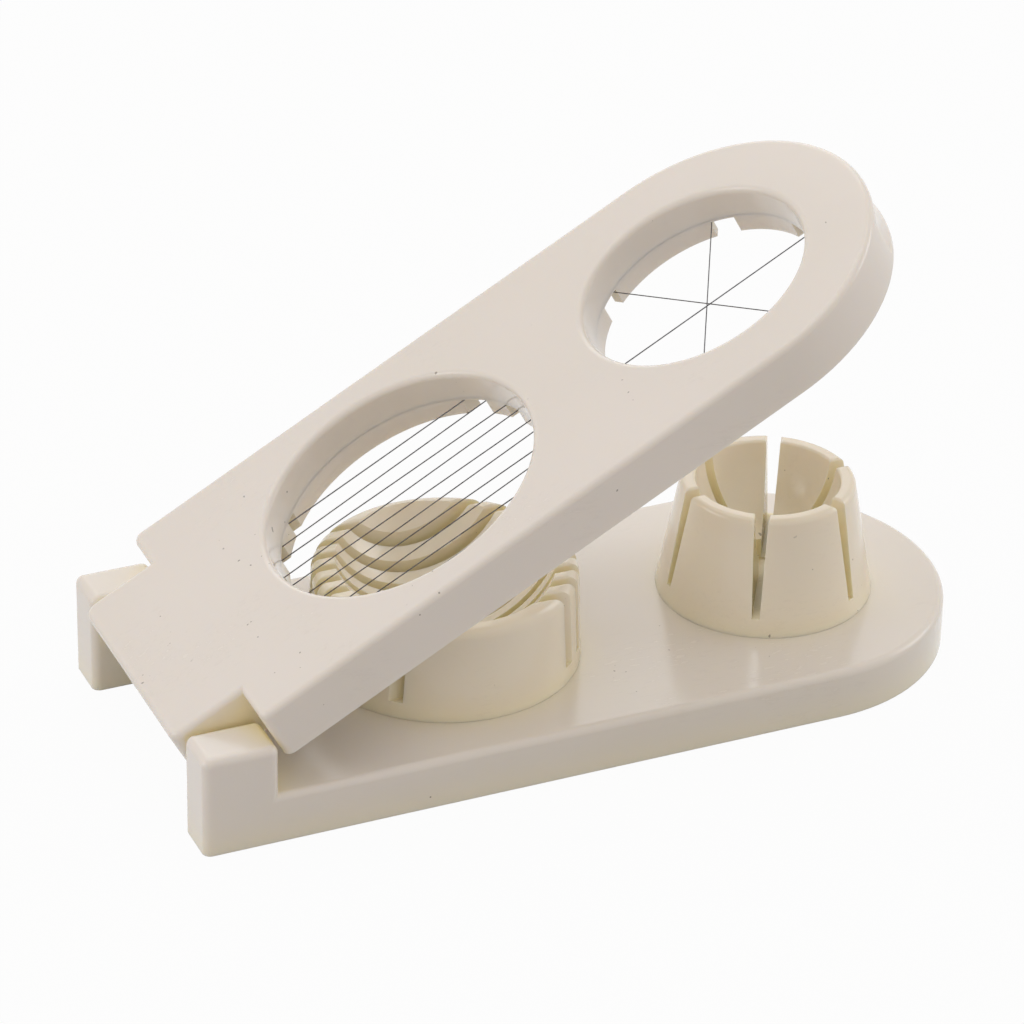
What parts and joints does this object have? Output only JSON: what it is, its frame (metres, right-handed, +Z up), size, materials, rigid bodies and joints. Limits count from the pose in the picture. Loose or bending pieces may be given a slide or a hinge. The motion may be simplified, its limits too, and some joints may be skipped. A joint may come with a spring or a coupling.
{
  "type": "egg slicer",
  "caption": "Hand egg slicer and wedger: long hollow base with two slotted egg cups and one hinged lid whose wires cut slices in one cup and wedges in the other.",
  "frame": {"origin": "middle of the footprint at table height, with the lid at its rest tilt", "axes": "+X runs from the hinge to the round end, +Y across the tool to its left side, +Z up from the table"},
  "size_m": [0.2052, 0.088, 0.1213],
  "materials": {
    "ivory_plastic": "smooth glossy off-white moulding, slightly translucent",
    "cup_plastic": "smooth glossy off-white moulding, a little warmer than the base",
    "wire_steel": "bare drawn stainless steel wire",
    "screw_steel": "plain steel screw"
  },
  "bodies": {
    "base_body": {"base": "ivory_plastic", "slicer_cup": "cup_plastic", "wedger_cup": "cup_plastic"},
    "lid_body": {"lid": "ivory_plastic", "slicer_wire_frame": "cup_plastic", "wedger_wire_frame": "cup_plastic", "slicing_wire_pass_1": "wire_steel", "slicing_wire_pass_2": "wire_steel", "slicing_wire_pass_3": "wire_steel", "slicing_wire_pass_4": "wire_steel", "slicing_wire_pass_5": "wire_steel", "slicing_wire_pass_6": "wire_steel", "slicing_wire_pass_7": "wire_steel", "slicing_wire_pass_8": "wire_steel", "slicing_wire_pass_9": "wire_steel", "slicing_wire_pass_10": "wire_steel", "slicing_wire_turns": "wire_steel", "wedging_wire_pass_1": "wire_steel", "wedging_wire_pass_2": "wire_steel", "wedging_wire_pass_3": "wire_steel", "wedging_wire_turns": "wire_steel", "wire_screws": "screw_steel"}
  },
  "joints": [
    {"name": "lid_hinge", "type": "hinge", "parent": "base_body", "child": "lid_body", "pos_m": [-0.095, 0, 0.0197], "axis": [0, -1, 0], "range_deg": [-28.6, 77]}
  ]
}
